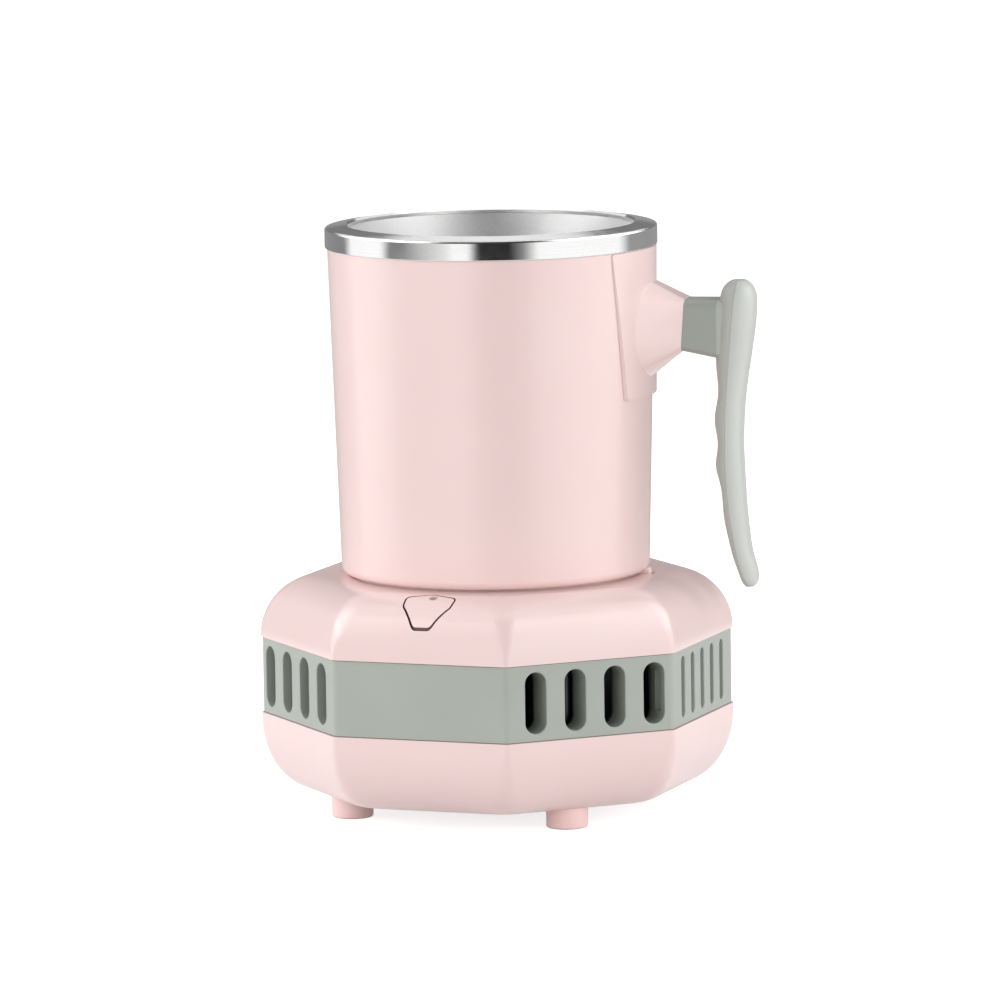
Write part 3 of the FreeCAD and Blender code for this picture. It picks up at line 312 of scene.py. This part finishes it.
def sage_band():
    """Matt moulded plastic, with painted shade along its joints with the shells and inside the
    slots.
    """
    finish, material = new_finish("sage_band")
    skin, drift = matt_skin(finish)
    up = finish.axis("Z")
    # Painted shade in thin lines along the joints with the shells.
    joint = (up > BAND_HIGH - BAND_SHADE_WIDTH) + (up < BAND_LOW + BAND_SHADE_WIDTH)
    # Painted shade in the slots: grey from a little behind the face, dark deeper in.
    depth = BAND_FACE - finish.octagon_reach()
    behind = finish.ramp(depth, *SLOT_SHADE_GREY)
    deep = finish.ramp(depth, *SLOT_SHADE_DARK)
    face = finish.blend(drift, paint(174, 179, 172), paint(168, 173, 166))
    grey_shaded = finish.blend(behind, face, paint(146, 150, 143))
    slot_shaded = finish.blend(deep, grey_shaded, paint(46, 48, 45))
    finish.surface({
        "Base Color": finish.blend(0.75 * joint, slot_shaded, paint(96, 78, 74)),
        "Roughness": 0.46 + 0.2 * behind + 0.06 * (skin - 0.5),
        "Normal": finish.relief(skin, 0.000006),
        "IOR": 1.49,
        "Coat Weight": 0.05,
    })
    return material


def pebble_grip(name, pale, deep):
    """The grip's grey plastic, with painted shade on the stub that joins it to the mug."""
    finish, material = new_finish(name)
    skin, drift = matt_skin(finish)
    inward = finish.ramp(GRIP_REACH - finish.reach(), 0.0, STUB_EDGE)
    # Painted shade: a darker grey on the stub, in the hollow between mug and grip.
    stub = inward * within(finish.axis("Z"), STUB_LOW, STUB_HIGH)
    finish.surface({
        "Base Color": finish.blend(stub, finish.blend(drift, pale, deep), paint(164, 170, 163)),
        "Roughness": 0.42 - 0.08 * stub + 0.06 * (skin - 0.5),
        "Normal": finish.relief(skin, 0.000006),
        "IOR": 1.49,
        "Coat Weight": 0.1,
        "Coat Roughness": 0.1,
    })
    return material


def blush_foot():
    """The shells' plastic, scuffed where the foot stands on the table."""
    finish, material = new_finish("blush_foot")
    skin = finish.noise(0.0005, 3.0)
    height = finish.axis("Z") + SCUFF_RAGGED * finish.noise(0.0015, 4.0)
    scuff = finish.ramp(height, SCUFF_TOP, SCUFF_DENSE)
    clean = finish.blend(skin, paint(250, 218, 214), paint(246, 211, 207))
    finish.surface({
        "Base Color": finish.blend(0.5 * scuff, clean, paint(196, 182, 178)),
        "Roughness": 0.36 + 0.3 * scuff + 0.05 * (skin - 0.5),
        "Normal": finish.relief(skin, 0.000008),
        "IOR": 1.49,
    })
    return material


def polished_rim():
    """Turned and polished steel with fine lines and rubbed patches."""
    finish, material = new_finish("polished_rim")
    lines = finish.rings(0.00022)
    rubbed = finish.ramp(finish.noise(0.008, 4.0), 0.45, 0.8)
    grit = finish.noise(0.0009, 3.0)
    wear = 0.6 * lines + 0.4 * grit
    finish.surface({
        "Base Color": finish.blend(wear, paint(238, 238, 238), paint(218, 218, 217)),
        "Metallic": 1.0,
        "Roughness": 0.1 + 0.08 * rubbed + 0.05 * (grit - 0.5),
        "Normal": finish.relief(lines, 0.000003),
    })
    return material


def satin_liner():
    """Blasted metal inside the mug, with turning marks on its floor."""
    finish, material = new_finish("satin_liner")
    blast = finish.noise(0.0008, 4.0)
    turning = finish.rings(0.0007)
    floor = finish.ramp(finish.axis("Z"), MUG_WALL, MUG_FLOOR)
    height = blast * (1 - floor) + turning * floor
    patches = finish.noise(0.02, 3.0)
    wear = 0.6 * height + 0.4 * patches
    finish.surface({
        "Base Color": finish.blend(wear, paint(240, 240, 239), paint(214, 215, 215)),
        "Metallic": 0.92,
        "Roughness": 0.33 + 0.1 * (patches - 0.5) + 0.16 * (blast - 0.5),
        "Normal": finish.relief(height, 0.00004),
    })
    return material


def turned_aluminium():
    """The cold plate: face-turned aluminium with fine rings and water marks."""
    finish, material = new_finish("turned_aluminium")
    lines = finish.rings(0.0005)
    marks = finish.ramp(finish.noise(0.009, 4.0), 0.5, 0.7)
    wear = 0.8 * lines + 0.2 * marks
    finish.surface({
        "Base Color": finish.blend(wear, paint(218, 220, 221), paint(198, 200, 202)),
        "Metallic": 1.0,
        "Roughness": 0.3 + 0.03 * marks,
        "Normal": finish.relief(lines, 0.00001),
    })
    return material


def milled_aluminium():
    """The cold block: aluminium with the strokes of the cutter."""
    finish, material = new_finish("milled_aluminium")
    strokes = finish.noise(0.0006, 3.0, finish.stretched((1, 0.05, 1)))
    finish.surface({
        "Base Color": finish.blend(strokes, paint(206, 208, 210), paint(176, 178, 181)),
        "Metallic": 1.0,
        "Roughness": 0.3 + 0.15 * strokes,
        "Normal": finish.relief(strokes, 0.00001),
    })
    return material


def black_anodised():
    """The heat sink: dark anodised aluminium with die lines along the fins and some dust."""
    finish, material = new_finish("black_anodised")
    die = finish.noise(0.0005, 3.0, finish.stretched((1, 0.03, 1)))
    dust = finish.ramp(finish.noise(0.004, 4.0), 0.52, 0.8)
    finish.surface({
        "Base Color": finish.blend(0.4 * die + 0.6 * dust, paint(38, 39, 41), paint(78, 79, 80)),
        "Metallic": 0.6,
        "Roughness": 0.36 + 0.25 * dust,
        "Normal": finish.relief(die, 0.000015),
    })
    return material


def zinc_screw():
    """Plated steel, with the thread as relief."""
    finish, material = new_finish("zinc_screw")
    plating = finish.noise(0.0012, 4.0)
    finish.surface({
        "Base Color": finish.blend(plating, paint(196, 199, 203), paint(158, 161, 164)),
        "Metallic": 1.0,
        "Roughness": 0.26 + 0.2 * plating,
        "Normal": finish.relief(finish.turns(320.0, 0.4), 0.00012),
    })
    return material


def ground_steel():
    """The fan's shaft, ground round its axis."""
    finish, material = new_finish("ground_steel")
    lines = finish.rings(0.0002)
    finish.surface({
        "Base Color": finish.blend(lines, paint(206, 207, 210), paint(170, 172, 175)),
        "Metallic": 1.0,
        "Roughness": 0.16 + 0.1 * lines,
    })
    return material


def copper_winding():
    """Enamelled wire wound round the stator."""
    finish, material = new_finish("copper_winding")
    wire = finish.turns(520.0, 1.5)
    finish.surface({
        "Base Color": finish.blend(wire, paint(120, 62, 34), paint(202, 118, 66)),
        "Metallic": 0.85,
        "Roughness": 0.3 + 0.15 * (1 - wire),
        "Normal": finish.relief(wire, 0.00015),
    })
    return material


def black_plastic(name, roughness):
    """Dark moulded plastic with some dust."""
    finish, material = new_finish(name)
    black = paint(26, 26, 28)
    skin = finish.noise(0.0005, 3.0)
    dust = finish.ramp(finish.noise(0.006, 4.0), 0.55, 0.85)
    finish.surface({
        "Base Color": finish.blend(0.5 * dust + 0.2 * skin, black, shaded(black, 2.4)),
        "Roughness": roughness + 0.2 * dust + 0.06 * (skin - 0.5),
        "Normal": finish.relief(skin, 0.00001),
    })
    return material


def inlet_plastic():
    """The inlet's black plastic and, in the middle of its bore, the plated centre pin."""
    finish, material = new_finish("inlet_plastic")
    pin = distance(finish.axis("X"), finish.axis("Z") - INLET_HEIGHT) < INLET_PIN
    skin = finish.noise(0.0004, 3.0)
    moulded = finish.blend(skin, paint(30, 30, 31), paint(44, 44, 45))
    finish.surface({
        "Base Color": finish.blend(pin, moulded, paint(204, 202, 196)),
        "Metallic": pin,
        "Roughness": 0.42 - 0.18 * pin + 0.08 * (skin - 0.5),
        "Normal": finish.relief(skin, 0.00001),
    })
    return material


def bead_foam():
    """Moulded bead foam: packed cells with dark joints."""
    finish, material = new_finish("bead_foam")
    cells = {"Vector": finish.spot(), "Scale": 330.0}
    beads = finish.node("ShaderNodeTexVoronoi", {"feature": "F1"}, cells, "Distance")
    joint = finish.ramp(beads, 0.25, 0.7)
    finish.surface({
        "Base Color": finish.blend(joint, paint(240, 240, 236), paint(204, 204, 198)),
        "Roughness": 0.78 + 0.1 * joint,
        "Normal": finish.relief(1 - joint, 0.0003),
    })
    return material


def circuit_board():
    """Green solder mask over copper tracks, with the glass cloth's weave just showing."""
    finish, material = new_finish("circuit_board")
    layout = {"Vector": finish.stretched((1, 1, 0)), "Scale": 160.0, "Mortar Size": 0.06}
    tracks = finish.node("ShaderNodeTexBrick", {"offset": 0.35}, layout, "Fac")
    weave = finish.noise(0.0004, 2.0, finish.stretched((1, 0.3, 1)))
    mask = finish.blend(0.5 * weave, paint(24, 86, 52), paint(34, 108, 66))
    finish.surface({
        "Base Color": finish.blend(0.7 * tracks, mask, paint(66, 146, 92)),
        "Roughness": 0.3 + 0.12 * weave,
        "Normal": finish.relief(tracks + 0.3 * weave, 0.00004),
    })
    return material


def lamp_lens():
    """The status lamp's hazy lens."""
    finish, material = new_finish("lamp_lens")
    haze = finish.noise(0.0015, 3.0)
    finish.surface({
        "Base Color": finish.blend(haze, paint(236, 240, 244), paint(214, 222, 230)),
        "Roughness": 0.12 + 0.1 * haze,
        "Coat Weight": 0.5,
    })
    return material


def fine_grained(name, grain, colours, gloss, depth, metallic=0.0):
    """One grain all over, from a first colour and roughness to a second."""
    finish, material = new_finish(name)
    texture = finish.noise(grain, 4.0)
    first, second = gloss
    finish.surface({
        "Base Color": finish.blend(texture, *colours),
        "Metallic": metallic,
        "Roughness": first + (second - first) * texture,
        "Normal": finish.relief(texture, depth),
    })
    return material


def sintered_bronze():
    colours = (paint(186, 142, 84), paint(128, 92, 50))
    return fine_grained("sintered_bronze", 0.0003, colours, (0.35, 0.55), 0.00002, 1.0)


def silicone_seal():
    colours = (paint(216, 216, 212), paint(194, 194, 190))
    return fine_grained("silicone_seal", 0.003, colours, (0.525, 0.675), 0.00003)


def white_ceramic():
    colours = (paint(240, 240, 236), paint(224, 224, 219))
    return fine_grained("white_ceramic", 0.0004, colours, (0.44, 0.56), 0.00001)


def pellet_metal():
    colours = (paint(96, 96, 99), paint(138, 138, 142))
    return fine_grained("pellet_metal", 0.0006, colours, (0.4, 0.6), 0.00003, 0.7)


def ferrite_magnet():
    colours = (paint(40, 38, 36), paint(62, 58, 55))
    return fine_grained("ferrite_magnet", 0.0004, colours, (0.62, 0.77), 0.00002)


def lead_jacket(name, colour):
    colours = (colour, shaded(colour, 0.7))
    return fine_grained(name, 0.0012, colours, (0.345, 0.495), 0.00003)


def numbered(stem, count):
    return [f"{stem}_{index}" for index in range(1, count + 1)]


def dress():
    """Give every node of the model its finish."""
    pale_grip = (paint(204, 207, 202), paint(198, 202, 196))
    # The inner half takes a darker copy of the grip's grey, as painted shade.
    shaded_grip = (paint(188, 192, 186), paint(182, 187, 180))
    screws = (numbered("case_screw", 4) + numbered("heat_sink_screw", 4) + numbered("fan_screw", 4)
              + numbered("board_screw", 2) + numbered("bracket_screw", 2) + ["handle_screw"])
    finishes = (
        # The third colour is the black of the painted shade on the screw pillars inside the case.
        (glossy_blush("blush_shell", 0.28, paint(28, 28, 29)),
         ["bottom_shell", "top_shell", "power_button"]),
        (blush_foot(), numbered("foot", 4)),
        (glossy_blush("blush_cup", 0.3), ["cup_jacket", "handle_bracket"]),
        (sage_band(), ["vent_band"]),
        (pebble_grip("pebble_outer", *pale_grip), ["handle_outer_half"]),
        (pebble_grip("pebble_inner", *shaded_grip), ["handle_inner_half"]),
        (polished_rim(), ["rim_ring"]),
        (satin_liner(), ["cup_liner"]),
        (turned_aluminium(), ["cold_plate"]),
        (milled_aluminium(), ["cold_block"]),
        (black_anodised(), ["heat_sink"]),
        (zinc_screw(), screws + ["power_inlet_nut"]),
        (ground_steel(), ["fan_shaft"]),
        (sintered_bronze(), ["fan_bearing"]),
        (copper_winding(), ["fan_stator"]),
        (black_plastic("fan_plastic", 0.42), ["fan_frame", "fan_impeller"]),
        (black_plastic("switch_plastic", 0.5), ["tact_switch", "switch_plunger"]),
        (inlet_plastic(), ["power_inlet"]),
        (silicone_seal(), ["cold_plate_gasket", "cup_base_seal"]),
        (bead_foam(), ["insulation_frame", "cup_insulation"]),
        (white_ceramic(), ["module_cold_face", "module_hot_face"]),
        (pellet_metal(), ["module_pellets"]),
        (ferrite_magnet(), ["fan_magnet"]),
        (circuit_board(), ["control_board"]),
        (lamp_lens(), ["status_lamp"]),
        (lead_jacket("inlet_lead_jacket", paint(34, 34, 36)), ["inlet_lead"]),
        (lead_jacket("module_lead_jacket", paint(176, 38, 34)), ["module_lead"]),
        (lead_jacket("fan_lead_jacket", paint(60, 60, 64)), ["fan_lead"]),
    )
    for material, names in finishes:
        for name in names:
            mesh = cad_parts[name].data
            mesh.materials.clear()
            mesh.materials.append(material)


# The surround's light at the horizon and overhead. Then the floor: half its width, its grey, and
# its glow to the camera and in what mirrors it.
HORIZON_LEVEL = 1.1
OVERHEAD_LEVEL = 0.2
FLOOR_HALF = 12.0
FLOOR_GREY = 0.77
FLOOR_SEEN = 0.75
FLOOR_MIRRORED = 0.4

# The tent of cards round the cup: its size, where its wall starts over the floor, and how near to
# the top counts as its ceiling.
TENT_RADIUS = 0.5
TENT_HEIGHT = 0.9
TENT_SIDES = 96
TENT_HEM = 0.001
TENT_CEILING = 0.002

# What the metal mirrors, round from behind the cup: degrees to the right of the camera's own
# direction, and how bright the studio is there. First the cards at the cup's own height, then
# the cards above them, then the flags that hang between the two behind the cup.
LOW_CARDS = (
    (-180, 0.28), (-116, 0.22), (-108, 1.0), (-78, 1.0), (-71, 0.18), (-60, 0.22), (-48, 0.5),
    (-30, 0.8), (-25, 1.0), (-15, 1.0), (-9, 0.02), (12, 0.02), (21, 0.25), (31, 1.0), (95, 1.0),
    (106, 0.3), (180, 0.28),
)
LOW_LEVEL = 1.2
HIGH_CARDS = (
    (-180, 0.3), (-130, 0.3), (-110, 1.0), (-65, 1.0), (-35, 0.02), (35, 0.02), (65, 1.0),
    (110, 1.0), (130, 0.3), (180, 0.3),
)
HIGH_LEVEL = 3.2
FLAGS = ((-180, 0.2), (-135, 0.25), (-115, 1.0), (115, 1.0), (135, 0.25), (180, 0.2))

# The height where the low cards give way to the high ones, how soft that edge is, and the upper
# edge of the flags. Then the strip overhead: how bright it is, its end towards the camera, its end
# away from it, and how soft those ends are.
CARD_EDGE = 0.25
CARD_BLUR = 0.01
FLAG_EDGE = 0.39
STRIP_LEVEL = 1.3
STRIP_FRONT = 0.15
STRIP_BACK = -0.30
STRIP_BLUR = 0.02

# The lamps: name, place, width, height and watts.
SOFTBOXES = (
    ("left_softbox", (-1.45, -1.0, 0.65), 1.1, 1.4, 15.4),
    ("left_edge_softbox", (-1.36, 0.35, 0.55), 0.5, 1.2, 4.4),
    ("right_softbox", (1.75, -0.6, 0.65), 0.9, 1.2, 11.5),
    ("right_edge_softbox", (1.3, 0.75, 0.55), 0.5, 1.2, 4.8),
    ("top_softbox", (0.1, 0.2, 1.7), 1.2, 1.2, 0.6),
)


def seen_rays(finish):
    """Two readings: 1 for the rays that show a thing itself, and 1 for those that mirror it."""
    camera, glossy, through = [finish.node("ShaderNodeLightPath", out=f"Is {kind} Ray")
                               for kind in ("Camera", "Glossy", "Transmission")]
    return camera, (glossy + through).smaller(1.0)


def studio_world():
    """A surround that shows white and lights the cup at a plain level, lower from above."""
    world = bpy.data.worlds.new("studio")
    world.use_nodes = True
    bpy.context.scene.world = world
    finish = Finish(world.node_tree)
    way = finish.node("ShaderNodeTexCoord", out="Generated")
    climb = finish.node("ShaderNodeSeparateXYZ", None, {0: way}, "Z")
    level = HORIZON_LEVEL - (HORIZON_LEVEL - OVERHEAD_LEVEL) * finish.ramp(climb, 0.0, 1.0)
    camera, mirrored = seen_rays(finish)
    seen = (camera + mirrored).smaller(1.0)
    finish.fill(world.node_tree.nodes["Background"], {
        "Color": level + (1 - level) * seen,
        "Strength": 1.0,
    })


def studio_floor():
    """A white floor that keeps a soft shadow."""
    mesh = bpy.data.meshes.new("floor")
    ways = ((1, 1), (-1, 1), (-1, -1), (1, -1))
    mesh.from_pydata([(x * FLOOR_HALF, y * FLOOR_HALF, 0) for x, y in ways], [], [(0, 1, 2, 3)])
    floor = bpy.data.objects.new("floor", mesh)
    bpy.context.collection.objects.link(floor)
    finish, material = new_finish("floor_white")
    camera, mirrored = seen_rays(finish)
    finish.surface({
        "Base Color": (FLOOR_GREY, FLOOR_GREY, FLOOR_GREY, 1),
        "Roughness": 1.0,
        "Specular IOR Level": 0.0,
        "Emission Color": FLOOR_SEEN * camera + FLOOR_MIRRORED * mirrored,
        "Emission Strength": 1.0,
    })
    mesh.materials.append(material)


def tent_cards():
    """The glow of the tent: cards and flags on its wall and one pale strip on its ceiling."""
    finish, material = new_finish("tent_cards")
    up = finish.axis("Z")
    along = finish.axis("X")
    across = finish.axis("Y")
    angle = along.work("ARCTAN2", across, along) / (2 * math.pi) + 0.5
    rows = []
    for cards in (LOW_CARDS, HIGH_CARDS, FLAGS):
        stops = [(degrees / 360 + 0.5, level) for degrees, level in cards]
        rows.append(finish.node("ShaderNodeValToRGB", {"stops": stops}, {0: angle}))
    low, high, flags = rows
    hung = up < FLAG_EDGE
    above = HIGH_LEVEL * high * (flags * hung + 1 - hung)
    edge = finish.ramp(up, CARD_EDGE - CARD_BLUR, CARD_EDGE + CARD_BLUR)
    wall = finish.blend(edge, LOW_LEVEL * low, above)
    strip = (finish.ramp(along, STRIP_FRONT + STRIP_BLUR, STRIP_FRONT)
             * finish.ramp(along, STRIP_BACK - STRIP_BLUR, STRIP_BACK))
    ceiling = up > TENT_HEIGHT - TENT_CEILING
    finish.surface({
        "Base Color": (0, 0, 0, 1),
        "Specular IOR Level": 0.0,
        "Emission Color": finish.blend(ceiling, wall, STRIP_LEVEL * strip),
        "Emission Strength": 1.0,
    })
    return material


def light_tent():
    """A round tent over the cup, turned to face the camera, which only reflections show."""
    turns = [2 * math.pi * side / TENT_SIDES for side in range(TENT_SIDES)]
    ring = [(math.cos(turn) * TENT_RADIUS, math.sin(turn) * TENT_RADIUS) for turn in turns]
    points = [(x, y, height) for height in (TENT_HEM, TENT_HEIGHT) for x, y in ring]
    faces = [tuple(range(TENT_SIDES, 2 * TENT_SIDES))]
    for side in range(TENT_SIDES):
        after = (side + 1) % TENT_SIDES
        faces.append((side, after, after + TENT_SIDES, side + TENT_SIDES))
    mesh = bpy.data.meshes.new("light_tent")
    mesh.from_pydata(points, [], faces)
    mesh.materials.append(tent_cards())
    tent = bpy.data.objects.new("light_tent", mesh)
    bpy.context.collection.objects.link(tent)
    tent.rotation_euler.z = math.atan2(CAMERA_AT.y, CAMERA_AT.x)
    tent.visible_camera = False
    tent.visible_diffuse = False
    tent.visible_shadow = False
    tent.visible_transmission = False


def softbox(name, at, width, height, watts):
    """A large soft lamp turned towards the cup."""
    lamp = bpy.data.lights.new(name, "AREA")
    lamp.shape = "RECTANGLE"
    lamp.size = width
    lamp.size_y = height
    lamp.energy = watts
    holder = bpy.data.objects.new(name, lamp)
    holder.location = at
    holder.rotation_mode = "QUATERNION"
    holder.rotation_quaternion = (CAMERA_LOOKS_AT - Vector(at)).to_track_quat("-Z", "Y")
    bpy.context.collection.objects.link(holder)


def stand_camera():
    """Stand the camera at the cup's viewing angle, with its slight lean."""
    forward = (CAMERA_LOOKS_AT - CAMERA_AT).normalized()
    right = forward.cross(Vector((0, 0, 1))).normalized()
    up = right.cross(forward)
    leaning_right = math.cos(CAMERA_LEAN) * right + math.sin(CAMERA_LEAN) * up
    leaning_up = math.cos(CAMERA_LEAN) * up - math.sin(CAMERA_LEAN) * right
    data = bpy.data.cameras.new("camera")
    data.lens = CAMERA_LENS
    data.sensor_width = CAMERA_SENSOR
    data.clip_end = CAMERA_SEES
    camera = bpy.data.objects.new("camera", data)
    turn = Matrix((leaning_right, leaning_up, -forward)).transposed().to_4x4()
    camera.matrix_world = Matrix.Translation(CAMERA_AT) @ turn
    bpy.context.collection.objects.link(camera)
    bpy.context.scene.camera = camera


def light_and_stage():
    bpy.context.scene.view_settings.view_transform = "Standard"
    studio_world()
    studio_floor()
    light_tent()
    for lamp in SOFTBOXES:
        softbox(*lamp)


dress()
light_and_stage()
stand_camera()
